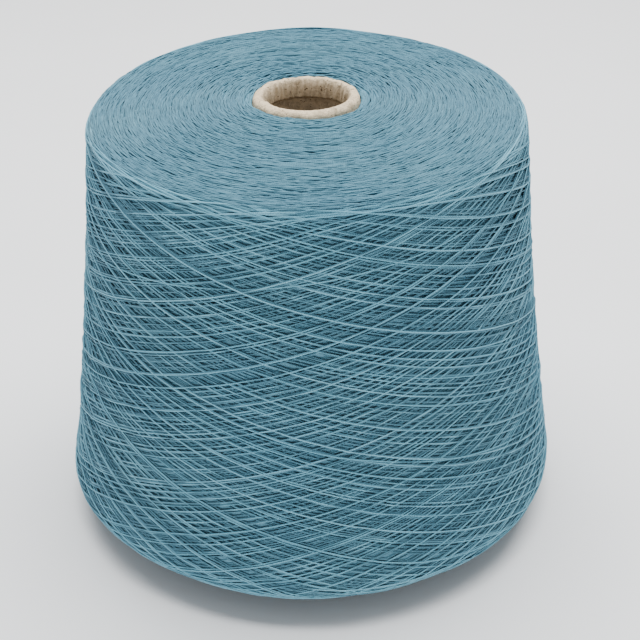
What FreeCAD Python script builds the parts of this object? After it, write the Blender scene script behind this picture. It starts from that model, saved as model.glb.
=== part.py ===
import FreeCAD, Part
import math
import os
import Sketcher

# A cone of knitting yarn: a rolled paperboard cone with a folded-in nose, carrying one
# cross-wound package of yarn, with the transfer tail wound round the bare foot.
# The origin is on the floor, on the cone's axis, and +Z points from foot to nose.
# All lengths are in millimetres and all angles in degrees.

SIZES = {
    # paperboard cone
    "cone_height": 170.0,
    "foot_radius": 37.27,
    "taper_angle": 5.95,
    "wall": 2.4,
    "bead_radius": 2.35,
    "lip_depth": 4.3,
    "foot_edge_round": 0.5,
    "lip_edge_round": 0.6,
    # wound package
    "bare_foot": 16.8,
    "nose_showing": 1.9,
    "package_radius": 96.0,
    "shoulder_ease": 0.6,
    "base_dish": 4.7,
    "crown_rise": 4.8,
    "base_round": 5.0,
    "shoulder_round": 4.5,
    "crown_radius": 800.0,
    # transfer tail
    "yarn_diameter": 0.75,
    "tail_turns": 5.0,
    "tail_pitch": 0.85,
    "tail_height": 6.0,
}

START = 1
END = 2
CENTRE = 3
ORIGIN = (-1, 1)

doc = FreeCAD.newDocument("yarn_cone")
sheet = doc.addObject("Spreadsheet::Sheet", "Sizes")
for row, (alias, value) in enumerate(SIZES.items(), start=1):
    sheet.set(f"A{row}", alias)
    sheet.set(f"B{row}", str(value))
    sheet.setAlias(f"B{row}", alias)
doc.recompute()


def size(alias):
    """A driving dimension, read back from the sheet."""
    return float(sheet.get(alias))


def sized(formula):
    """Turns bare size names in a formula into references to the sheet's cells."""
    for alias in sorted(SIZES, key=len, reverse=True):
        formula = formula.replace(f"<{alias}>", f"Sizes.{alias}")
    return formula


def new_body(name):
    """A body whose name and label are the sub-part's own."""
    body = doc.addObject("PartDesign::Body", name)
    body.Label = name
    body.Placement = FreeCAD.Placement()
    return body


def section_sketch(body, name):
    """A sketch on the body's XZ plane: its x is the radius and its y is the height."""
    plane = next(f for f in body.Origin.OriginFeatures if f.Role == "XZ_Plane")
    sketch = body.newObject("Sketcher::SketchObject", name)
    sketch.AttachmentSupport = [(plane, "")]
    sketch.MapMode = "FlatFace"
    return sketch


def add_line(sketch, start, end):
    """A straight edge between two (radius, height) points."""
    return sketch.addGeometry(Part.LineSegment(FreeCAD.Vector(*start), FreeCAD.Vector(*end)))


def add_arc(sketch, centre, radius, first, last):
    """An arc that runs anticlockwise between two angles in degrees."""
    circle = Part.Circle(FreeCAD.Vector(*centre), FreeCAD.Vector(0, 0, 1), radius)
    return sketch.addGeometry(
        Part.ArcOfCircle(circle, math.radians(first), math.radians(last))
    )


def tie(sketch, *constraint):
    """A constraint with no size of its own."""
    return sketch.addConstraint(Sketcher.Constraint(*constraint))


def bind(sketch, name, formula, *constraint):
    """A named constraint whose value follows a formula of the sheet's cells."""
    index = sketch.addConstraint(Sketcher.Constraint(*constraint))
    sketch.renameConstraint(index, name)
    sketch.setExpression(f"Constraints.{name}", sized(formula))


def place(sketch, name, edge, point, across, up):
    """Fixes a point's radius and height above the floor by two formulas."""
    where = sketch.getPoint(edge, point)
    bind(sketch, f"{name}_radius", across, "DistanceX", *ORIGIN, edge, point, where.x)
    bind(sketch, f"{name}_height", up, "DistanceY", *ORIGIN, edge, point, where.y)


def revolve(body, sketch, name):
    """Turns a closed section once round the sketch's height axis."""
    feature = body.newObject("PartDesign::Revolution", name)
    feature.Profile = sketch
    feature.ReferenceAxis = (sketch, ["V_Axis"])
    feature.Angle = 360.0
    sketch.Visibility = False
    return feature


slope = math.tan(math.radians(size("taper_angle")))
lean = size("taper_angle")
LEAN_OF_WALL = "90 deg + <taper_angle> * 1 deg"
SLOPE = "tan(<taper_angle> * 1 deg)"
RADIUS_AT = f"<foot_radius> - ({{height}}) * {SLOPE}"
SEAT_TOP = "<cone_height> - <nose_showing>"
RIM_CENTRE = "<bare_foot> - <base_dish> + <base_round>"
SHOULDER_CENTRE = f"{SEAT_TOP} - <crown_rise> - <shoulder_round>"


def cone_radius(height):
    """The outer radius of the paperboard wall at a height."""
    return size("foot_radius") - slope * height


def paper_cone():
    """The board cone: a tapered wall folded inwards over a round bead into a short lip."""
    body = new_body("paper_cone")
    sketch = section_sketch(body, "paper_cone_section")
    bead = size("bead_radius")
    rise = size("cone_height") - bead
    normal = math.radians(lean)
    bead_at = (cone_radius(rise) - bead / math.cos(normal), rise)
    outer_top = (
        bead_at[0] + bead * math.cos(normal),
        bead_at[1] + bead * math.sin(normal),
    )
    bore = bead_at[0] - bead
    lip_end = rise - size("lip_depth")
    wall_across = size("wall") / math.cos(normal)
    inner_top = (cone_radius(lip_end) - wall_across, lip_end)
    inner_foot = (size("foot_radius") - wall_across, 0)

    outside = add_line(sketch, (size("foot_radius"), 0), outer_top)
    crest = add_arc(sketch, bead_at, bead, lean, 180)
    lip = add_line(sketch, (bore, rise), (bore, lip_end))
    step = add_line(sketch, (bore, lip_end), inner_top)
    inside = add_line(sketch, inner_top, inner_foot)
    foot = add_line(sketch, inner_foot, (size("foot_radius"), 0))

    tie(sketch, "Tangent", outside, END, crest, START)
    tie(sketch, "Tangent", crest, END, lip, START)
    tie(sketch, "Coincident", lip, END, step, START)
    tie(sketch, "Coincident", step, END, inside, START)
    tie(sketch, "Coincident", inside, END, foot, START)
    tie(sketch, "Coincident", foot, END, outside, START)
    tie(sketch, "Vertical", lip)
    tie(sketch, "Horizontal", step)
    tie(sketch, "Horizontal", foot)
    tie(sketch, "Parallel", inside, outside)
    place(sketch, "foot", outside, START, "<foot_radius>", "0")
    angle = math.radians(90 + lean)
    bind(sketch, "taper", LEAN_OF_WALL, "Angle", outside, angle)
    bind(sketch, "bead", "<bead_radius>", "Radius", crest, bead)
    bind(
        sketch, "bead_height", "<cone_height> - <bead_radius>",
        "DistanceY", *ORIGIN, crest, CENTRE, rise,
    )
    bind(sketch, "lip_length", "<lip_depth>", "DistanceY", lip, END, lip, START, size("lip_depth"))
    bind(
        sketch, "wall_across", "<wall> / cos(<taper_angle> * 1 deg)",
        "DistanceX", foot, START, foot, END, wall_across,
    )
    revolve(body, sketch, "paper_cone_wall")
    doc.recompute()
    soften(body, "foot_edge", 0, "<foot_edge_round>")
    soften(body, "lip_edge", lip_end, "<lip_edge_round>", bore)
    return body


def soften(body, name, height, formula, radius=None):
    """Rounds the circular edges at one height, or the one of them with a given radius."""
    base = body.Tip
    found = []
    for index, edge in enumerate(base.Shape.Edges, start=1):
        box = edge.BoundBox
        level = abs(box.ZMin - height) < 0.01 and abs(box.ZMax - height) < 0.01
        right = radius is None or abs(box.XMax - radius) < 0.01
        if level and right and isinstance(edge.Curve, Part.Circle):
            found.append(f"Edge{index}")
    fillet = body.newObject("PartDesign::Fillet", name)
    fillet.Base = (base, found)
    fillet.setExpression("Radius", sized(formula))
    doc.recompute()


def wound_yarn():
    """The package: one closed solid with the winding's outer shape, seated on the cone.

    The base face is dished, the side leans in like the cone, the shoulder is rounded and
    the top face rises in a shallow crown to just under the cone's bead.
    """
    body = new_body("wound_yarn")
    sketch = section_sketch(body, "wound_yarn_section")
    base = size("base_round")
    shoulder = size("shoulder_round")
    crown = size("crown_radius")
    low = (cone_radius(size("bare_foot")), size("bare_foot"))
    seat_top = size("cone_height") - size("nose_showing")
    high = (cone_radius(seat_top), seat_top)
    rim_plane = size("bare_foot") - size("base_dish")
    top_plane = seat_top - size("crown_rise")
    base_at = (size("package_radius") - base, rim_plane + base)
    fall_in = slope * (top_plane - shoulder - base_at[1]) + size("shoulder_ease")
    shoulder_at = (size("package_radius") - fall_in - shoulder, top_plane - shoulder)

    def on(centre, radius, degrees):
        turn = math.radians(degrees)
        return (centre[0] + radius * math.cos(turn), centre[1] + radius * math.sin(turn))

    # first guesses for the directions that the tangencies then settle
    side_lean = math.degrees(
        math.atan2(base_at[0] - shoulder_at[0], shoulder_at[1] - base_at[1])
    )
    fall = math.degrees(math.atan2(low[1] - rim_plane, base_at[0] - low[0]))
    drop = math.degrees(math.atan2(high[1] - top_plane, shoulder_at[0] - high[0]))
    reach = math.hypot(high[1] - top_plane, shoulder_at[0] - high[0])
    bow = math.degrees(math.asin(reach / 2 / crown))
    crest_out = 90 - drop - bow
    crest_in = 90 - drop + bow
    crown_at = on(on(shoulder_at, shoulder, crest_out), crown, crest_out + 180)

    bottom = add_line(sketch, low, on(base_at, base, -90 - fall))
    rim = add_arc(sketch, base_at, base, -90 - fall, side_lean)
    side = add_line(sketch, on(base_at, base, side_lean), on(shoulder_at, shoulder, side_lean))
    edge = add_arc(sketch, shoulder_at, shoulder, side_lean, crest_out)
    top = add_arc(sketch, crown_at, crown, crest_out, crest_in)
    seat = add_line(sketch, high, low)

    tie(sketch, "Tangent", bottom, END, rim, START)
    tie(sketch, "Tangent", rim, END, side, START)
    tie(sketch, "Tangent", side, END, edge, START)
    tie(sketch, "Tangent", edge, END, top, START)
    tie(sketch, "Coincident", top, END, seat, START)
    tie(sketch, "Coincident", seat, END, bottom, START)
    bind(sketch, "rim_bend", "<base_round>", "Radius", rim, base)
    bind(sketch, "shoulder_bend", "<shoulder_round>", "Radius", edge, shoulder)
    bind(sketch, "crown", "<crown_radius>", "Radius", top, crown)
    place(
        sketch, "rim_centre", rim, CENTRE,
        "<package_radius> - <base_round>", RIM_CENTRE,
    )
    inwards = f"(({SHOULDER_CENTRE}) - ({RIM_CENTRE})) * {SLOPE} + <shoulder_ease>"
    place(
        sketch, "shoulder_centre", edge, CENTRE,
        f"<package_radius> - ({inwards}) - <shoulder_round>", SHOULDER_CENTRE,
    )
    place(
        sketch, "seat_low", seat, END,
        RADIUS_AT.format(height="<bare_foot>"), "<bare_foot>",
    )
    place(
        sketch, "seat_high", seat, START,
        RADIUS_AT.format(height=SEAT_TOP), SEAT_TOP,
    )
    revolve(body, sketch, "wound_yarn_package")
    return body


def transfer_tail():
    """The bunch of turns round the bare foot, which ends in the package's first yarn.

    It is one closed band with a half-round edge above and below, as thick as the yarn.
    """
    body = new_body("transfer_tail")
    sketch = section_sketch(body, "transfer_tail_section")
    thick = size("yarn_diameter")
    width = size("tail_turns") * size("tail_pitch")
    low = size("tail_height")
    high = low + width
    normal = math.radians(lean)
    out = (thick * math.cos(normal), thick * math.sin(normal))
    inner_low = (cone_radius(low), low)
    inner_high = (cone_radius(high), high)
    outer_low = (inner_low[0] + out[0], inner_low[1] + out[1])
    outer_high = (inner_high[0] + out[0], inner_high[1] + out[1])

    def middle(first, second):
        return ((first[0] + second[0]) / 2, (first[1] + second[1]) / 2)

    outside = add_line(sketch, outer_low, outer_high)
    above = add_arc(sketch, middle(inner_high, outer_high), thick / 2, lean, lean + 180)
    inside = add_line(sketch, inner_high, inner_low)
    below = add_arc(sketch, middle(inner_low, outer_low), thick / 2, lean + 180, lean + 360)

    tie(sketch, "Tangent", outside, END, above, START)
    tie(sketch, "Tangent", above, END, inside, START)
    tie(sketch, "Tangent", inside, END, below, START)
    tie(sketch, "Tangent", below, END, outside, START)
    place(sketch, "low", inside, END, RADIUS_AT.format(height="<tail_height>"), "<tail_height>")
    angle = math.radians(90 + lean)
    bind(sketch, "lean", LEAN_OF_WALL, "Angle", outside, angle)
    bind(sketch, "edge", "<yarn_diameter> / 2", "Radius", below, thick / 2)
    bind(
        sketch, "width", "<tail_turns> * <tail_pitch>",
        "DistanceY", inside, END, inside, START, width,
    )
    revolve(body, sketch, "transfer_tail_band")
    return body


parts = [paper_cone(), wound_yarn(), transfer_tail()]
doc.recompute()

for item in doc.Objects:
    if "Invalid" in item.State or "Error" in item.State:
        raise RuntimeError(f"{item.Label} didn't build: {item.State}")
for part in parts:
    if part.Shape.isNull() or not part.Shape.isValid():
        raise RuntimeError(f"{part.Label} has no valid shape")

os.makedirs("parts", exist_ok=True)
for part in parts:
    part.Shape.exportStep(f"parts/{part.Label}.step")
    box = part.Shape.optimalBoundingBox(False)
    print(
        f"{part.Label}: {len(part.Shape.Solids)} solid, {part.Shape.Volume / 1000:.1f} cm3, "
        f"{box.XLength:.1f} across, {box.ZMin:.2f} to {box.ZMax:.2f} high"
    )
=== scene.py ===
import math

import bpy
import numpy as np
from mathutils import Euler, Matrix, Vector
from mathutils.bvhtree import BVHTree


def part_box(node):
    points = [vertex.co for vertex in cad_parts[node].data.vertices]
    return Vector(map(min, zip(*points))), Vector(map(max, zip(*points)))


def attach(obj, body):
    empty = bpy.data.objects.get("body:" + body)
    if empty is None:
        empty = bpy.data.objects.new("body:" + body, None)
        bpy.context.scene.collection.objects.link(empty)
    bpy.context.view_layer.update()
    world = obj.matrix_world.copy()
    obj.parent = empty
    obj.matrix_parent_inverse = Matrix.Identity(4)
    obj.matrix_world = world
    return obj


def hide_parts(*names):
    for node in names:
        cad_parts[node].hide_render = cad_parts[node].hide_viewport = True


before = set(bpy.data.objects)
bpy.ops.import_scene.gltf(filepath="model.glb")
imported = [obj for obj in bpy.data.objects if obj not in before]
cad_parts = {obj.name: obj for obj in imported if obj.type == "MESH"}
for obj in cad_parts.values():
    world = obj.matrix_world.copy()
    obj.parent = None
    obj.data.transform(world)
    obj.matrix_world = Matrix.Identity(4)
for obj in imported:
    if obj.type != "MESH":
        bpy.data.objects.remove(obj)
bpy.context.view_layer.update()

MM = 0.001
SEED = 20

# The yarn and how it is laid. Lengths are in metres, and each is written as so many MM.
YARN = 0.30 * MM  # half the yarn's width
FLAT = 0.86  # height of the yarn's section over its width, as it is wound under tension
WINDING_ANGLE = math.radians(17.0)  # between the yarn and the package's turning direction
STROKES = 1700  # passes of the yarn from one edge to the other that are modelled
STROKES_A_PIECE = 142
TURNS_A_PASS = 0.94137  # turns of the package during one pass, which sets the lattice
TURN_EVERY = 3  # strokes for each of the flat turns laid along the edges
STEP = 4.2 * MM  # between the rings of a tube
TRACK = 0.3 * MM  # between the samples of a path while it is being laid
CELL = 0.25 * MM  # size of the cells in the map of the height laid so far
GROWTH = 0.42  # how much of its height a strand adds where the next one crosses it
PACKED = 0.62  # the share by which it is less at the edges, where the yarn is packed closer
EDGE_REACH = 7 * MM  # from an edge, over which the packing eases off
TURN_RADII = (100, 260)  # of the strokes' reversals, in millimetres, seen flat
SHORT_SHARE = 0.03  # of the strokes, which turn back early
HOLLOW = 0.8 * MM  # of the side between the two edges
RIM_SPREAD = 16 * MM  # from an edge, over which the package bulges there
LEVELLED = 0.85  # the share of the winding's slow rise and fall that is taken off again
TURN_RINGS = 10  # samples of a path between the rings of a turn along an edge
TOP_ARCS = 12000  # turning points that show on the top face
BASE_ARCS = 4800  # the same on the base face
ARC_STEP = 1.9 * MM  # between the rings of such a turning point's tube
ARC_SPREAD = 5.13  # golden angles from one turning point to the next
TOP_INNER = 20.3 * MM  # radius at which the top face starts
BASE_INNER = 36.0 * MM  # the same on the base face
TAIL_TURNS = 5
TUCK = 1.3  # angle of the tail's start, which runs down under its turns
ARCS_A_PIECE = 2400

# Radius and height of the corners where the package's base and top meet the board.
FOOT_SEAT = (35.6 * MM, 16.9 * MM)
NOSE_SEAT = (19.95 * MM, 168.05 * MM)

# The board cone, whose height and foot come from the frame, and how its nose is crumpled.
TAPER = math.radians(5.95)
WALL = 2.4 * MM
BEAD = 2.35 * MM
LIP = 4.3 * MM
SEAM = 5.12  # angle round the nose at which the folded board's end overlaps its start
OVERLAP = 1.5 * MM
CREASE = 0.20 * MM
PINCH = 0.42 * MM
LUMP = 0.24 * MM
ROUGH = 0.08 * MM
PUSHED_DOWN = 1.4 * MM  # at the nose's back
PUSH_REACH = 10 * MM  # below the bead, over which that eases off
LIP_SAG = 1.3 * MM

# Colours of the yarn's strands and of the board, from the darkest to the lightest.
YARN_TONES = ((0.064, 0.190, 0.257), (0.080, 0.219, 0.291), (0.098, 0.250, 0.327))
BOARD_TONES = ((0.32, 0.24, 0.155), (0.68, 0.55, 0.375), (0.85, 0.69, 0.475))

rng = np.random.default_rng(SEED)


# ---------------------------------------------------------------- materials


def new_material(name):
    """A material with a Principled shader; returns it with its node helper."""
    material = bpy.data.materials.new(name)
    material.use_nodes = True
    tree = material.node_tree
    shader = tree.nodes["Principled BSDF"]

    def node(kind, **settings):
        made = tree.nodes.new(kind)
        for key, value in settings.items():
            setattr(made, key, value)
        return made

    return material, tree, shader, node


def ramp(node, tree, source, stops):
    """A colour ramp fed by a socket; stops are (position, colour)."""
    made = node("ShaderNodeValToRGB")
    elements = made.color_ramp.elements
    while len(elements) < len(stops):
        elements.new(0.5)
    for element, (place, colour) in zip(elements, stops, strict=True):
        element.position = place
        element.color = (*colour, 1)
    tree.links.new(source, made.inputs["Fac"])
    return made.outputs["Color"]


def mixed(node, tree, kind, share, first, second):
    """A colour mix; share, first and second may be sockets or values."""
    made = node("ShaderNodeMix", data_type="RGBA", blend_type=kind)
    factor, colour_a, colour_b = made.inputs[0], made.inputs[6], made.inputs[7]
    for socket, value in ((factor, share), (colour_a, first), (colour_b, second)):
        if isinstance(value, bpy.types.NodeSocket):
            tree.links.new(value, socket)
        elif isinstance(value, tuple):
            socket.default_value = (*value, 1)
        else:
            socket.default_value = value
    return made.outputs[2]


def noise(node, tree, scale, detail=4.0, roughness=0.55, coordinate=None):
    """A noise texture in object space, or in the coordinate given."""
    made = node("ShaderNodeTexNoise")
    made.inputs["Scale"].default_value = scale
    made.inputs["Detail"].default_value = detail
    made.inputs["Roughness"].default_value = roughness
    if coordinate is None:
        coordinate = node("ShaderNodeTexCoord").outputs["Object"]
    tree.links.new(coordinate, made.inputs["Vector"])
    return made.outputs["Fac"]


def bumped(node, tree, shader, height, strength, distance):
    """Feeds a height into the shader's normal through a bump node."""
    made = node("ShaderNodeBump")
    made.inputs["Strength"].default_value = strength
    made.inputs["Distance"].default_value = distance
    tree.links.new(height, made.inputs["Height"])
    tree.links.new(made.outputs["Normal"], shader.inputs["Normal"])


def yarn_material(name, dark, mid, light):
    """Dyed spun yarn: each strand's own tone, fibres along it and the twist of its plies.

    Painted shade on each strand's underside; painted highlight and shade by its depth.
    """
    material, tree, shader, node = new_material(name)
    strand = node("ShaderNodeUVMap", uv_map="Strand").outputs["UV"]
    own = node("ShaderNodeNewGeometry").outputs["Random Per Island"]
    tone = ramp(node, tree, own, [(0.0, dark), (0.5, mid), (1.0, light)])
    place = node("ShaderNodeSeparateXYZ")
    tree.links.new(node("ShaderNodeUVMap", uv_map="Depth").outputs["UV"], place.inputs[0])
    # Painted shade: each strand is darker the lower round it a point lies, lightest on its top.
    painted_flank_shade = ramp(
        node, tree, place.outputs["X"],
        [(0.0, (0.42, 0.46, 0.50)), (0.42, (0.61, 0.66, 0.70)), (0.85, (1, 1, 1))],
    )
    tone = mixed(node, tree, "MULTIPLY", 1.0, tone, painted_flank_shade)
    # Painted highlight and shade by how deep a strand lies: the topmost strands brighter, those
    # below darker, the deepest a little lighter again.
    painted_depth_highlight_and_shade = ramp(
        node, tree, place.outputs["Y"],
        [(0.0, (1.85, 1.75, 1.68)), (0.15, (1.10, 1.09, 1.08)), (0.4, (0.78, 0.79, 0.80)),
         (1.0, (1.08, 1.09, 1.09))],
    )
    tone = mixed(node, tree, "MULTIPLY", 1.0, tone, painted_depth_highlight_and_shade)
    fibres = noise(node, tree, 2600.0, 3.0, 0.6)
    streaks = ramp(node, tree, fibres, [(0.3, (0.80, 0.82, 0.84)), (0.7, (1.12, 1.10, 1.08))])
    colour = mixed(node, tree, "MULTIPLY", 0.8, tone, streaks)
    patches = noise(node, tree, 30.0, 2.0)
    cast = ramp(node, tree, patches, [(0.35, (0.94, 0.96, 0.98)), (0.65, (1.05, 1.03, 1.02))])
    colour = mixed(node, tree, "MULTIPLY", 1.0, colour, cast)
    tree.links.new(colour, shader.inputs["Base Color"])
    shader.inputs["Roughness"].default_value = 0.82
    shader.inputs["Specular IOR Level"].default_value = 0.18
    shader.inputs["Sheen Weight"].default_value = 0.08
    shader.inputs["Sheen Roughness"].default_value = 0.6
    plies = node("ShaderNodeTexWave", wave_type="BANDS", bands_direction="DIAGONAL")
    plies.inputs["Scale"].default_value = 1.0
    plies.inputs["Distortion"].default_value = 0.6
    tree.links.new(strand, plies.inputs["Vector"])
    bumped(node, tree, shader, plies.outputs["Fac"], 0.5, 0.08 * MM)
    return material


def core_material():
    """The older layers under the modelled strands, which show only in the gaps.

    Streaks in two crossing directions stand for their strands, in patches of one or the other.
    """
    material, tree, shader, node = new_material("yarn_depth")
    wound = node("ShaderNodeUVMap", uv_map="Wound").outputs["UV"]
    streaks = []
    for way in (1, -1):
        turned = node("ShaderNodeMapping")
        turned.inputs["Rotation"].default_value = (0, 0, way * WINDING_ANGLE)
        tree.links.new(wound, turned.inputs["Vector"])
        drawn = node("ShaderNodeMapping")
        drawn.inputs["Scale"].default_value = (16, 1500, 1)  # drawn out along the strands
        tree.links.new(turned.outputs["Vector"], drawn.inputs["Vector"])
        streaks.append(noise(node, tree, 1.0, 2.0, 0.5, drawn.outputs["Vector"]))
    patches = noise(node, tree, 260.0, 1.0)
    which = ramp(node, tree, patches, [(0.47, (0, 0, 0)), (0.53, (1, 1, 1))])
    grain = mixed(node, tree, "MIX", which, streaks[0], streaks[1])
    # Painted light: these tones are lighter than the yarn's own, which lifts the shade that falls
    # in the gaps.
    colour = ramp(
        node, tree, grain,
        [(0.3, (0.08, 0.20, 0.27)), (0.5, (0.12, 0.29, 0.38)), (0.7, (0.15, 0.34, 0.44))],
    )
    tree.links.new(colour, shader.inputs["Base Color"])
    shader.inputs["Roughness"].default_value = 0.95
    shader.inputs["Specular IOR Level"].default_value = 0.1
    bumped(node, tree, shader, grain, 0.8, 0.3 * MM)
    return material


def board_material(name, dark, mid, light):
    """Grey-beige wound board: a fibrous matt surface with dark specks.

    The folded lip darkens towards its end: painted shade. The bore behind is darker, greyer.
    """
    material, tree, shader, node = new_material(name)
    cloud = noise(node, tree, 220.0, 6.0, 0.7)
    colour = ramp(node, tree, cloud, [(0.22, dark), (0.45, mid), (0.66, light)])
    fine = noise(node, tree, 800.0, 6.0, 0.7)
    fibres = ramp(node, tree, fine, [(0.32, (0.66, 0.64, 0.60)), (0.52, (1.04, 1.04, 1.04))])
    colour = mixed(node, tree, "MULTIPLY", 0.85, colour, fibres)
    spots = noise(node, tree, 950.0, 3.0, 0.55)
    specks = ramp(node, tree, spots, [(0.31, (0.20, 0.15, 0.10)), (0.37, (1, 1, 1))])
    colour = mixed(node, tree, "MULTIPLY", 0.9, colour, specks)
    place = node("ShaderNodeSeparateXYZ")
    tree.links.new(node("ShaderNodeUVMap", uv_map="OFBake").outputs["UV"], place.inputs[0])
    # Painted shade: darker down the lip towards its end inside the nose; past it the bore is a
    # little darker and greyer.
    lip_shade_and_bore_tint = ramp(
        node, tree, place.outputs["Y"],
        [(0.5, (1, 1, 1)), (0.55, (0.97, 0.965, 0.96)), (0.64, (0.72, 0.71, 0.70)),
         (0.67, (0.84, 0.88, 0.98))],
    )
    colour = mixed(node, tree, "MULTIPLY", 1.0, colour, lip_shade_and_bore_tint)
    tree.links.new(colour, shader.inputs["Base Color"])
    shader.inputs["Roughness"].default_value = 0.78
    shader.inputs["Specular IOR Level"].default_value = 0.3
    bumped(node, tree, shader, fine, 1.0, 0.7 * MM)
    return material


def floor_material():
    """A plain pale table."""
    material, tree, shader, node = new_material("pale_table")
    grain = noise(node, tree, 8.0, 2.0)
    colour = ramp(node, tree, grain, [(0.3, (0.92, 0.93, 0.94)), (0.7, (0.95, 0.96, 0.97))])
    tree.links.new(colour, shader.inputs["Base Color"])
    shader.inputs["Roughness"].default_value = 0.6
    return material


# ---------------------------------------------------------------- mesh helpers


def mesh_object(name, points, quads, material, maps=None, smooth=True):
    """An object from arrays of points and quads; maps holds corner UVs by name."""
    mesh = bpy.data.meshes.new(name)
    mesh.vertices.add(len(points))
    mesh.vertices.foreach_set("co", np.asarray(points, np.float32).ravel())
    mesh.loops.add(quads.size)
    mesh.loops.foreach_set("vertex_index", quads.astype(np.int32).ravel())
    mesh.polygons.add(len(quads))
    mesh.polygons.foreach_set("loop_start", np.arange(0, quads.size, 4, dtype=np.int32))
    mesh.polygons.foreach_set("use_smooth", np.full(len(quads), smooth))
    for key, corners in (maps or {}).items():
        layer = mesh.uv_layers.new(name=key)
        layer.data.foreach_set("uv", np.asarray(corners, np.float32).ravel())
    mesh.materials.append(material)
    mesh.update(calc_edges=True)
    mesh.validate()
    made = bpy.data.objects.new(name, mesh)
    bpy.context.scene.collection.objects.link(made)
    return made


def lathe(name, outline, turns, material, shift=None):
    """Turns a closed outline of (radius, height) rows about Z; shift moves its points."""
    rows = len(outline)
    angle = np.arange(turns) * 2 * math.pi / turns
    radius = np.repeat(outline[:, 0][None], turns, 0)
    height = np.repeat(outline[:, 1][None], turns, 0)
    if shift is not None:
        more_radius, more_height = shift(angle[:, None], radius, height)
        radius = radius + more_radius
        height = height + more_height
    points = np.stack(
        [radius * np.sin(angle)[:, None], -radius * np.cos(angle)[:, None], height], -1
    ).reshape(-1, 3)
    turn, row = np.meshgrid(np.arange(turns), np.arange(rows), indexing="ij")
    next_turn = (turn + 1) % turns
    next_row = (row + 1) % rows
    quads = np.stack(
        [turn * rows + row, next_turn * rows + row,
         next_turn * rows + next_row, turn * rows + next_row], -1,
    ).reshape(-1, 4)
    corner = np.array([[0, 0], [1, 0], [1, 1], [0, 1]])
    corners = (np.stack([turn, row], -1).reshape(-1, 1, 2) + corner) / (turns, rows)
    reach = (2 * math.pi * outline[:, 0].max(), np.hypot(*np.diff(outline, axis=0).T).sum())
    maps = {"OFBake": corners, "Wound": corners * reach}
    return mesh_object(name, points, quads, material, maps)


def tubes(name, paths, material, sides=5):
    """One mesh of yarn tubes.

    Each path is its points, the surface's normals there and its depth, which is 0 for a strand
    on top and 1 for one that others hide. The map Strand runs along the yarn and round it, and
    the map Depth holds how high round the strand a point is and how deep the strand lies.
    """
    points, quads, along, depths, first = [], [], [], [], 0
    around = (np.arange(sides) + 0.5) * 2 * math.pi / sides
    for line, normals, depth in paths:
        tangent = np.gradient(line, axis=0)
        tangent /= np.linalg.norm(tangent, axis=1)[:, None]
        across = np.cross(tangent, normals)
        across /= np.linalg.norm(across, axis=1)[:, None]
        up = np.cross(across, tangent)
        ring = (
            line[:, None]
            + across[:, None] * (YARN * np.cos(around))[None, :, None]
            + up[:, None] * (YARN * FLAT * np.sin(around))[None, :, None]
        )
        points.append(ring.reshape(-1, 3))
        count = len(line)
        i, k = np.meshgrid(np.arange(count - 1), np.arange(sides), indexing="ij")
        after = (k + 1) % sides
        quads.append(
            first + np.stack(
                [i * sides + k, i * sides + after,
                 (i + 1) * sides + after, (i + 1) * sides + k], -1,
            ).reshape(-1, 4)
        )
        run = np.concatenate([[0], np.cumsum(np.linalg.norm(np.diff(line, axis=0), axis=1))])
        along.append(np.stack([run[:-1], run[1:]], 1))
        depth = np.clip(np.broadcast_to(depth, count), 0, 1)
        depths.append(np.stack([depth[:-1], depth[1:]], 1))
        first += count * sides
    points = np.concatenate(points)
    quads = np.concatenate(quads)
    along = np.concatenate(along)
    segments = len(along)
    side = np.tile(np.arange(sides), segments)
    segment = np.repeat(np.arange(segments), sides)
    pitch = 4 * YARN
    start, end = along[segment, 0] / pitch, along[segment, 1] / pitch
    low, high = side / sides, (side + 1) / sides
    strand = np.stack([start, low, start, high, end, high, end, low], 1).reshape(-1, 2)
    # How high round the strand a point is: the yarn's material paints shade on the strands'
    # undersides from it.
    raised = 0.5 + 0.5 * np.sin(around)
    near, far = raised[side], raised[(side + 1) % sides]
    # How deep each strand lies: the yarn's material paints highlight and shade from it.
    depths = np.concatenate(depths)
    before, behind = depths[segment, 0], depths[segment, 1]
    depth = np.stack([near, before, far, before, far, behind, near, behind], 1).reshape(-1, 2)
    columns = math.ceil(math.sqrt(segments * sides))
    rows = math.ceil(segments / columns)
    left = segment % columns / columns
    bottom = segment // columns / rows
    right = left + 1 / columns
    low, high = bottom + low / rows, bottom + high / rows
    bake = np.stack([left, low, left, high, right, high, right, low], 1).reshape(-1, 2)
    maps = {"OFBake": bake, "Strand": strand, "Depth": depth}
    return mesh_object(name, points, quads, material, maps)


# ---------------------------------------------------------------- the package's surface


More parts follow.
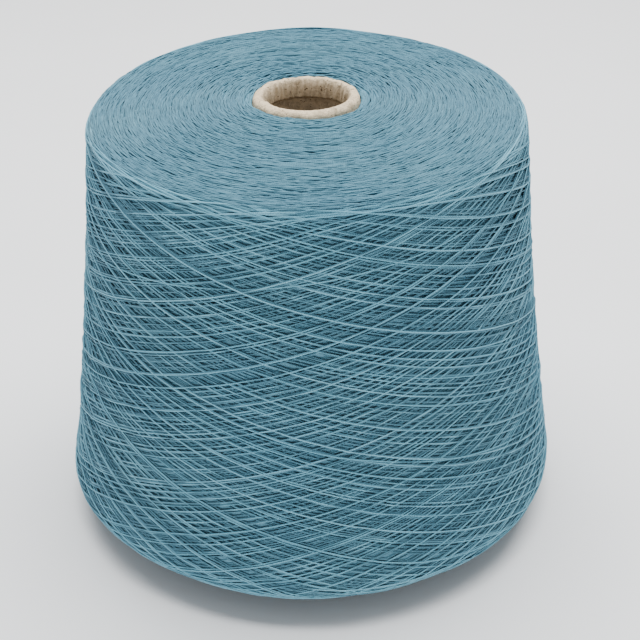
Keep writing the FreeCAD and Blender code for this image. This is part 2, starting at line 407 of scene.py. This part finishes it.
def package_outline():
    """The package's section in the CAD model, from the foot seat round to the nose seat.

    Rays from the middle of the section find it. Returns arc length, points and normals.
    """
    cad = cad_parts["wound_yarn"].data
    tree = BVHTree.FromPolygons(
        [v.co for v in cad.vertices], [tuple(p.vertices) for p in cad.polygons]
    )
    low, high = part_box("wound_yarn")
    middle = ((high.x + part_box("paper_cone")[1].x) / 2 * 0.87, (low.z + high.z) / 2)
    first = math.atan2(FOOT_SEAT[1] - middle[1], FOOT_SEAT[0] - middle[0])
    last = math.atan2(NOSE_SEAT[1] - middle[1], NOSE_SEAT[0] - middle[0])
    found = []
    for angle in np.linspace(first, last, 1400):
        way = Vector((math.cos(angle), 0, math.sin(angle)))
        hit = tree.ray_cast(Vector((middle[0], 0, middle[1])), way)[0]
        if hit is not None:
            found.append((hit.x, hit.z))
    found = np.array(found)
    run = np.concatenate([[0], np.cumsum(np.hypot(*np.diff(found, axis=0).T))])
    even = np.arange(0, run[-1], CELL)
    line = np.stack([np.interp(even, run, found[:, 0]), np.interp(even, run, found[:, 1])], 1)
    way = np.gradient(line, axis=0)
    kernel = np.ones(7) / 7
    way = np.stack([np.convolve(np.pad(w, 3, "edge"), kernel, "valid") for w in way.T], 1)
    way /= np.linalg.norm(way, axis=1)[:, None]
    return even, line, np.stack([way[:, 1], -way[:, 0]], 1)


arc, outline, outwards = package_outline()
tilt = np.degrees(np.arctan2(outwards[:, 1], outwards[:, 0]))
LOW_EDGE = arc[np.argmax(tilt > -45)]  # middle of the base rim's rounding
HIGH_EDGE = arc[np.argmax(tilt > 48)]  # middle of the shoulder's rounding
SIDE_LOW = arc[np.argmax(tilt > 3)]
SIDE_HIGH = arc[np.argmax(tilt > 12)]
# The yarn is packed closer where the strokes turn, so that a strand adds less height there.
packing = 1 - PACKED * np.exp(-(((arc - LOW_EDGE) / EDGE_REACH) ** 2))
packing -= PACKED * np.exp(-(((arc - HIGH_EDGE) / EDGE_REACH) ** 2))


def waver(angle, s):
    """Slow unevenness of a hand-handled package, so that its outline isn't turned.

    The rim bulges most at the front left and the shoulder at the back.
    """
    share = np.clip((s - SIDE_LOW) / (SIDE_HIGH - SIDE_LOW), 0, 1)
    hollow = -HOLLOW * 4 * share * (1 - share)
    ripple = (
        0.35 * np.sin(2 * angle + 0.6 + s * 9) + 0.25 * np.sin(3 * angle + 2.1 - s * 22)
        + 0.15 * np.sin(7 * angle + 5.0 + s * 60)
    ) * MM
    settled = np.exp(-(((s - LOW_EDGE) / RIM_SPREAD) ** 2)) * (0.9 + np.cos(angle - 5.6)) * MM
    raised = np.exp(-(((s - HIGH_EDGE) / RIM_SPREAD) ** 2)) * (0.8 * np.cos(angle - 3.1) + 0.5) * MM
    return hollow + ripple + settled + raised


def on_package(angle, s, height):
    """Points and normals at an angle, an arc length along the outline and a height."""
    radius = np.interp(s, arc, outline[:, 0])
    level = np.interp(s, arc, outline[:, 1])
    out = np.interp(s, arc, outwards[:, 0])
    up = np.interp(s, arc, outwards[:, 1])
    total = height + waver(angle, s)
    far = radius + out * total
    points = np.stack([far * np.sin(angle), -far * np.cos(angle), level + up * total], -1)
    normals = np.stack([out * np.sin(angle), -out * np.cos(angle), up], -1)
    return points, normals


# ---------------------------------------------------------------- the winding


def stroke(start, end, turn_start, turn_end, slope):
    """Distance round and arc length for one pass between two reversals."""
    way = 1 if end > start else -1
    span = abs(end - start)
    near, far = turn_start * slope, turn_end * slope
    length = span / slope + (near + far) / 2
    x = np.arange(0, length, TRACK)
    s = start + way * (near * slope / 2 + slope * (x - near))
    s = np.where(x < near, start + way * x * x / (2 * turn_start), s)
    left = length - x
    return x, np.where(left < far, end - way * left * left / (2 * turn_end), s)


def running_max(values, reach):
    """The largest value within reach samples either side."""
    padded = np.pad(values, reach, "edge")
    return np.lib.stride_tricks.sliding_window_view(padded, 2 * reach + 1).max(1)


def running_mean(values, reach):
    """A triangular average over reach samples either side."""
    kernel = np.bartlett(2 * reach + 3)[1:-1]
    return np.convolve(np.pad(values, reach, "edge"), kernel / kernel.sum(), "valid")


def blurred(field, around, along):
    """Box averages of a map that closes on itself in its first direction."""
    total = np.cumsum(np.pad(field, ((around + 1, around), (0, 0)), "wrap"), 0, dtype=np.float64)
    field = (total[2 * around + 1 :] - total[: -2 * around - 1]) / (2 * around + 1)
    total = np.cumsum(np.pad(field, ((0, 0), (along + 1, along)), "edge"), 1)
    return (total[:, 2 * along + 1 :] - total[:, : -2 * along - 1]) / (2 * along + 1)


def crests(field, around, along):
    """The largest value of a closed map within so many cells either way."""
    if around:
        field = np.pad(field, ((around, around), (0, 0)), "wrap")
        field = np.lib.stride_tricks.sliding_window_view(field, 2 * around + 1, 0).max(-1)
    field = np.pad(field, ((0, 0), (along, along)), "edge")
    return np.lib.stride_tricks.sliding_window_view(field, 2 * along + 1, 1).max(-1)


def lay(laid, theta, s, start=None, share=1.0):
    """Height at which a length of yarn comes to rest on what is laid, which it then raises.

    It starts from a given height, and only the middle share of it raises the map.
    """
    reach = math.ceil(YARN / CELL)
    offsets = np.arange(-reach, reach + 1)
    profile = np.sqrt(np.clip(1 - (offsets * CELL / (YARN * 1.15)) ** 2, 0, 1)) * YARN * FLAT
    column = (theta / (2 * math.pi) * len(laid)).astype(int) % len(laid)
    row = np.clip((s / CELL).astype(int), reach, laid.shape[1] - 1 - reach)
    under = np.maximum.reduce([laid[column, row + k] for k in (-1, 0, 1)])
    rest = 0.6 * running_mean(running_max(under, 6), 12) + 0.4 * running_mean(under, 12)
    if start is not None:
        rest[:30] += (start - rest[0]) * (1 - np.arange(30) / 30)
    ends = round(len(s) * (1 - share) / 2)
    kept = slice(ends, len(s) - ends)
    for k, rise in zip(offsets, profile, strict=True):
        spot = (column[kept], row[kept] + k)
        raised = rest[kept] + rise * 2 * GROWTH * packing[row[kept]]
        laid[spot] = np.maximum(laid[spot], raised)
    return rest


def wind_side():
    """Lays the yarn stroke by stroke over a map of the height laid so far.

    Each stroke runs over what is under it, as taut yarn does, and raises the map there.
    Every few strokes a flatter turn, whose yarn comes up from below, is laid along the edge.
    """
    mean_radius = float(np.interp((LOW_EDGE + HIGH_EDGE) / 2, arc, outline[:, 0]))
    across = int(2 * math.pi * mean_radius / CELL)
    laid = np.zeros((across, len(arc)), np.float32)
    angle, s_now, height_now, paths, turns = 0.0, LOW_EDGE, 0.0, [], []
    turn_now = 80 * MM
    for index in range(STROKES):
        upward = index % 2 == 0
        inwards = -1 if upward else 1
        edge = HIGH_EDGE if upward else LOW_EDGE
        aim = edge + inwards * (abs(rng.normal(0, 1.7)) - 1.0) * MM
        turn = rng.uniform(*TURN_RADII) * MM
        if rng.random() < SHORT_SHARE:
            aim += inwards * rng.uniform(12, 90) * MM
            turn = rng.uniform(160, 320) * MM
        x, s = stroke(s_now, aim, turn_now, turn, math.tan(WINDING_ANGLE))
        radius = np.interp(s, arc, outline[:, 0])
        advance = np.concatenate([[0], np.cumsum(np.diff(x) / radius[1:])])
        goal = (index + 1) * TURNS_A_PASS * 2 * math.pi + rng.normal(0, 1.3 * MM) / radius[-1]
        if abs(aim - edge) < 8 * MM and goal > angle + 4.5:
            advance *= (goal - angle) / advance[-1]  # keeps to the lattice
        theta = angle + advance
        sway = 0.12 * MM * np.sin(np.arange(len(s)) * TRACK / (23 * MM) + rng.uniform(0, 6.3))
        s = s + sway * np.minimum(1, np.minimum(x, x[-1] - x) / (30 * MM))
        rest = lay(laid, theta, s, start=height_now)
        height_now = rest[-1]
        keep = np.unique(np.append(np.arange(0, len(s), round(STEP / TRACK)), len(s) - 1))
        paths.append((theta[keep], s[keep], rest[keep]))
        angle, s_now, turn_now = theta[-1], s[-1], turn
        if index % TURN_EVERY == 0:
            half = rng.uniform(28, 60) * MM
            x = np.arange(-half, half, TRACK)
            inside = (abs(rng.normal(0, 2.6)) - 1.2) * MM
            s = edge + inwards * (inside + x * x / rng.uniform(0.4, 1.0))
            theta = rng.uniform(0, 2 * math.pi) + x / np.interp(edge, arc, outline[:, 0])
            rest = lay(laid, theta, s, share=0.7) - 1.7 * MM * (x / half) ** 6
            turns.append((theta[::TURN_RINGS], s[::TURN_RINGS], rest[::TURN_RINGS]))
    return paths, turns, laid


def face_arcs(count, inner, outer, level_of, wall_way):
    """Turning points of the strokes, which make up an end face of the package.

    Each is an arc about the axis that rises out of the winding, turns and dives back. They lie
    rougher near the nose, most of all behind it, and leave a pocket at each side of it.
    """
    paths = []
    golden = math.pi * (3 - math.sqrt(5))
    share = (np.arange(count) + rng.uniform(0, 1, count)) / count
    radii = np.sqrt(inner ** 2 + share * (outer ** 2 - inner ** 2))
    for index, radius in enumerate(radii):
        place = index * golden * ARC_SPREAD + rng.normal(0, 0.2)
        behind = 0.4 - 0.6 * math.cos(place)
        near_nose = math.exp(-(radius - inner) / (16 * MM)) * max(behind, 0.3)
        turn = (8 + 44 * rng.random() ** 2) * MM * (1 - 0.4 * near_nose)
        depth = (1.3 + 1.3 * near_nose) * MM
        half = min(math.sqrt(2 * turn * depth), 2.2 * radius)
        x = np.linspace(-half, half, max(8, round(2 * half / ARC_STEP)))
        dive = x * x / (2 * turn)
        sink = 0.12 * MM - rng.gamma(1.2, 0.17 + 0.6 * near_nose) * MM
        drift = rng.normal(0, 0.25 + 1.3 * near_nose) * MM * x / half
        pocket = abs(math.sin(place)) ** 6 * math.exp(-(radius - inner) / (2.5 * MM))
        sink -= 1.1 * MM * pocket
        theta = place + x / radius
        level, lean = level_of(radius, theta)
        down = dive - sink
        r = radius + drift + wall_way * down * math.tan(TAPER)
        z = level - lean * down
        points = np.stack([r * np.sin(theta), -r * np.cos(theta), z], -1)
        tipped = np.stack(
            [0.25 * np.sin(theta), -0.25 * np.cos(theta), np.full(len(x), float(lean))], -1
        )
        # The third entry is the arc's depth, from which the yarn's material paints highlight and
        # shade.
        paths.append((points, tipped, (down + 0.25 * MM) / (0.8 * MM)))
    return paths


top_part = arc > HIGH_EDGE
base_part = arc < LOW_EDGE


def top_level(radius, theta):
    """Height of the top face at a radius, with its shallow rings and dents."""
    s = np.interp(-radius, -outline[top_part, 0], arc[top_part])
    rings = 0.16 * math.sin(radius / (1.7 * MM)) + 0.12 * math.sin(radius / (4.1 * MM) + 1)
    level = np.interp(-radius, -outline[top_part, 0], outline[top_part, 1])
    return level + rings * MM + waver(theta, s) * 0.6, 1


def base_level(radius, theta):
    """Height of the base face at a radius."""
    s = np.interp(radius, outline[base_part, 0], arc[base_part])
    level = np.interp(radius, outline[base_part, 0], outline[base_part, 1])
    return level - waver(theta, s) * 0.6, -1


def build_yarn(material, deep):
    """Every piece of the package, which together stand for its CAD solid.

    The height that the winding has built up is taken off again, but for a share of its slow
    rise and fall, so that the strands on top lie on the outline.
    """
    pieces = []
    strokes, turns, surface = wind_side()
    hills = blurred(surface, 24, 4)
    mean, half = hills.mean(0), len(arc) // 2
    low_ridge, high_ridge = np.argmax(mean[:half]), half + np.argmax(mean[half:])
    hills[:, :low_ridge] = hills[:, [low_ridge]]
    hills[:, high_ridge:] = hills[:, [high_ridge]]
    hills = blurred(crests(hills, 0, 2), 24, 5)
    middle = hills[:, (arc > SIDE_LOW) & (arc < SIDE_HIGH)].mean()
    level = middle + LEVELLED * (hills - middle)
    crest = blurred(crests(surface - hills, 8, 8), 4, 4) + hills
    groups = {
        f"side_winding_{index + 1}": strokes[first : first + STROKES_A_PIECE]
        for index, first in enumerate(range(0, STROKES, STROKES_A_PIECE))
    }
    groups["edge_winding"] = turns
    for name, group in groups.items():
        paths = []
        for theta, s, rest in group:
            column = (theta / (2 * math.pi) * len(surface)).astype(int) % len(surface)
            row = np.clip((s / CELL).astype(int), 0, len(arc) - 1)
            # How far the strand lies under the highest yarn near it, from which the yarn's material
            # paints highlight and shade.
            depth = (crest[column, row] - rest) / (3.4 * YARN) - 0.3
            points, normals = on_package(theta, s, rest - running_mean(level[column, row], 3))
            paths.append((points, normals, depth))
        pieces.append(tubes(name, paths, material))
    shoulder_radius = float(np.interp(HIGH_EDGE, arc, outline[:, 0]))
    rim_radius = float(np.interp(LOW_EDGE, arc, outline[:, 0]))
    top = face_arcs(TOP_ARCS, TOP_INNER, shoulder_radius, top_level, 1)
    base = face_arcs(BASE_ARCS, BASE_INNER, rim_radius, base_level, -1)
    for label, arcs in (("top_winding", top), ("base_winding", base)):
        for index, first in enumerate(range(0, len(arcs), ARCS_A_PIECE)):
            pieces.append(
                tubes(f"{label}_{index + 1}", arcs[first : first + ARCS_A_PIECE], material)
            )
    lowest = np.percentile(surface[::3] - level[::3], 4, axis=0) - 1.1 * YARN
    face = np.where(arc < LOW_EDGE, -1.4 * MM, -1.0 * MM)
    inset = np.where((arc > LOW_EDGE) & (arc < HIGH_EDGE), lowest, face)
    inset = running_mean(np.clip(inset, -3.5 * MM, -0.8 * MM), 10)
    rows = np.arange(0, len(arc), 5)

    def follow(angle, radius, height):
        total = inset[rows] + waver(angle, arc[rows])
        return outwards[rows, 0] * total, outwards[rows, 1] * total

    pieces.append(lathe("inner_layers", outline[rows], 240, deep, follow))
    return pieces


# ---------------------------------------------------------------- the board cone


def wave_sum(angle, seeds, count, low, high):
    """A smooth random function of angle from a few whole-number waves."""
    draw = np.random.default_rng(seeds)
    total = 0
    for _ in range(count):
        size = draw.normal()
        total = total + size * np.sin(draw.integers(low, high) * angle + draw.uniform(0, 6.3))
    return total / math.sqrt(count)


def build_cone(material):
    """The board cone with its crumpled lip, uneven bead and seam."""
    foot_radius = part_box("paper_cone")[1].x
    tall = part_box("paper_cone")[1].z
    rise = tall - BEAD
    across = WALL / math.cos(TAPER)
    bead_radius = foot_radius - math.tan(TAPER) * rise - BEAD / math.cos(TAPER)
    bore = bead_radius - BEAD
    lip_end = rise - LIP
    outer = [(foot_radius - math.tan(TAPER) * z, z) for z in np.linspace(0, rise, 70)]
    crest = [
        (bead_radius + BEAD * math.cos(a), rise + BEAD * math.sin(a))
        for a in np.linspace(TAPER, math.pi / 2, 18)[1:]
    ]
    lip = [
        (bead_radius - BEAD * math.sin(a) ** 0.75, lip_end + (BEAD + LIP) * math.cos(a) ** 0.8)
        for a in np.linspace(0, math.pi / 2, 30)[1:-1]
    ] + [(bore, lip_end)]
    inner_top = foot_radius - math.tan(TAPER) * lip_end - across
    step = [(bore + (inner_top - bore) * t, lip_end) for t in (0.3, 0.7, 1.0)]
    inner = [
        (foot_radius - math.tan(TAPER) * z - across, z) for z in np.linspace(lip_end, 0, 60)[1:]
    ]
    profile = np.array(outer + crest + lip + step + inner)

    def crumple(angle, radius, height):
        above = np.clip((height - lip_end) / (rise - lip_end), 0, 1)
        inside = np.clip((bead_radius - radius) / BEAD, 0, 1) * (height > lip_end - 0.1 * MM)
        top = np.clip((height - rise) / BEAD, 0, 1)
        creases = wave_sum(angle + (height - rise) * 13, 5, 9, 14, 80) * CREASE
        pinch = -np.abs(wave_sum(angle, 6, 6, 9, 34)) * PINCH
        lumps = wave_sum(angle + height * 40, 7, 8, 3, 16) * LUMP
        fine = wave_sum(angle - height * 60, 8, 8, 25, 70) * ROUGH
        across_shift = inside * (creases - pinch) * (1 - 0.55 * top) + lumps * top
        past = np.clip(angle - SEAM, 0, 9)
        overlap = OVERLAP / (1 + np.exp(-(angle - SEAM) * 110)) * np.exp(-past / 0.4)
        across_shift = across_shift - inside * overlap
        up_shift = top * (lumps * 0.5 + fine) - (1 - above) * inside * np.abs(creases) * 0.8
        pushed = np.clip((height - rise + PUSH_REACH) / PUSH_REACH, 0, 1) ** 2
        up_shift = up_shift - PUSHED_DOWN * pushed * (0.5 - 0.5 * np.cos(angle))
        up_shift = up_shift - LIP_SAG * inside * (1 - above) * (0.7 - 0.5 * np.cos(angle))
        return across_shift, up_shift

    return lathe("board_cone", profile, 480, material, crumple)


def build_tail(material):
    """Turns of yarn round the bare foot, whose upper end runs into the package."""
    low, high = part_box("transfer_tail")
    foot_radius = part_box("paper_cone")[1].x
    pitch = (high.z - low.z - 2 * YARN) / TAIL_TURNS
    first = low.z + YARN * 1.2
    into_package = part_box("wound_yarn")[0].z + 5.2 * MM
    tuck = np.linspace(-TUCK, 0, 24)
    tuck_height = first + (high.z - first - YARN) * (-tuck / TUCK)
    wind = np.linspace(0, TAIL_TURNS * 2 * math.pi, 420)[1:]
    wind_height = first + pitch * wind / (2 * math.pi)
    leave = np.linspace(0, 1, 40)[1:]
    leave_angle = wind[-1] + 1.25 * leave
    leave_height = wind_height[-1] + (into_package - wind_height[-1]) * leave ** 1.35
    theta = np.concatenate([tuck, wind, leave_angle])
    z = np.concatenate([tuck_height, wind_height, leave_height])
    place = np.mod(wind + math.pi, 2 * math.pi) - math.pi
    gap = np.abs(wind_height - np.interp(place, tuck, tuck_height))
    over = np.where(place <= 0.05, np.exp(-((gap / (1.3 * MM)) ** 2)), 0)
    over = running_mean(over, 5) * 1.6 * YARN
    lift = np.concatenate([np.zeros(len(tuck)), over, np.zeros(len(leave))])
    radius = foot_radius - math.tan(TAPER) * z + YARN * FLAT + lift
    points = np.stack([radius * np.sin(theta), -radius * np.cos(theta), z], -1)
    normals = np.stack([np.sin(theta), -np.cos(theta), np.full(len(z), math.tan(TAPER))], -1)
    # Its depth of 0.2 gives it a slight painted highlight in the yarn's material.
    return tubes("tail_strand", [(points, normals, 0.2)], material, sides=8)


# ---------------------------------------------------------------- stage, lights and camera


def build_stage():
    """A plain pale table top."""
    half = 2.5
    corners = np.array([[-half, -half, 0], [half, -half, 0], [half, half, 0], [-half, half, 0]])
    quads = np.array([[0, 1, 2, 3]])
    table = mesh_object("table_top", corners, quads, floor_material(), smooth=False)


def area_light(name, place, aim, width, depth, power):
    """A soft box at a place, turned to face a point."""
    light = bpy.data.lights.new(name, "AREA")
    light.shape = "RECTANGLE"
    light.size = width
    light.size_y = depth
    light.energy = power
    made = bpy.data.objects.new(name, light)
    made.location = place
    made.rotation_euler = (Vector(aim) - Vector(place)).to_track_quat("-Z", "Y").to_euler()
    bpy.context.scene.collection.objects.link(made)


def build_lights():
    """Soft light from overhead and a little behind, with a pale room all round."""
    area_light(
        "overhead", place=(0.05, 0.22, 1.1), aim=(0, 0, 0.08),
        width=1.2, depth=0.9, power=31.5,
    )
    area_light(
        "front_fill", place=(-0.25, -1.25, 0.12), aim=(0, 0, 0.10),
        width=1.4, depth=0.20, power=6.8,
    )
    world = bpy.data.worlds.new("room")
    world.use_nodes = True
    world.node_tree.nodes["Background"].inputs["Color"].default_value = (0.92, 0.93, 0.95, 1)
    world.node_tree.nodes["Background"].inputs["Strength"].default_value = 0.52
    bpy.context.scene.world = world


def build_camera():
    """Looks down on the package from the front, a little turned about its own axis."""
    camera = bpy.data.objects.new("camera", bpy.data.cameras.new("camera"))
    camera.data.sensor_width = 36
    camera.data.lens = 92.85
    pitch, roll = math.radians(30.93), math.radians(-0.90)
    aim = Vector((0, 0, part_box("wound_yarn")[0].z))
    forward = Vector((0, math.cos(pitch), -math.sin(pitch)))
    up = Vector((0, math.sin(pitch), math.cos(pitch)))
    right = Vector((1, 0, 0))
    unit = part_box("wound_yarn")[1].x
    back, aside, above = 7.128, 0.039, 0.5414  # in the package's half width
    camera.location = aim - forward * back * unit + right * aside * unit + up * above * unit
    turn = Euler((math.pi / 2 - pitch, 0, 0)).to_matrix() @ Euler((0, 0, roll)).to_matrix()
    camera.rotation_euler = turn.to_euler()
    bpy.context.scene.collection.objects.link(camera)
    bpy.context.scene.camera = camera


# ---------------------------------------------------------------- assembly

yarn = yarn_material("teal_yarn", *YARN_TONES)
board = board_material("grey_board", *BOARD_TONES)
build_camera()
build_stage()
build_lights()

winding = build_yarn(yarn, core_material())
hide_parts("wound_yarn")
for piece in winding:
    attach(piece, "root")

cone = build_cone(board)
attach(cone, "root")
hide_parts("paper_cone")

tail = build_tail(yarn)
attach(tail, "root")
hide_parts("transfer_tail")

bpy.context.view_layer.update()
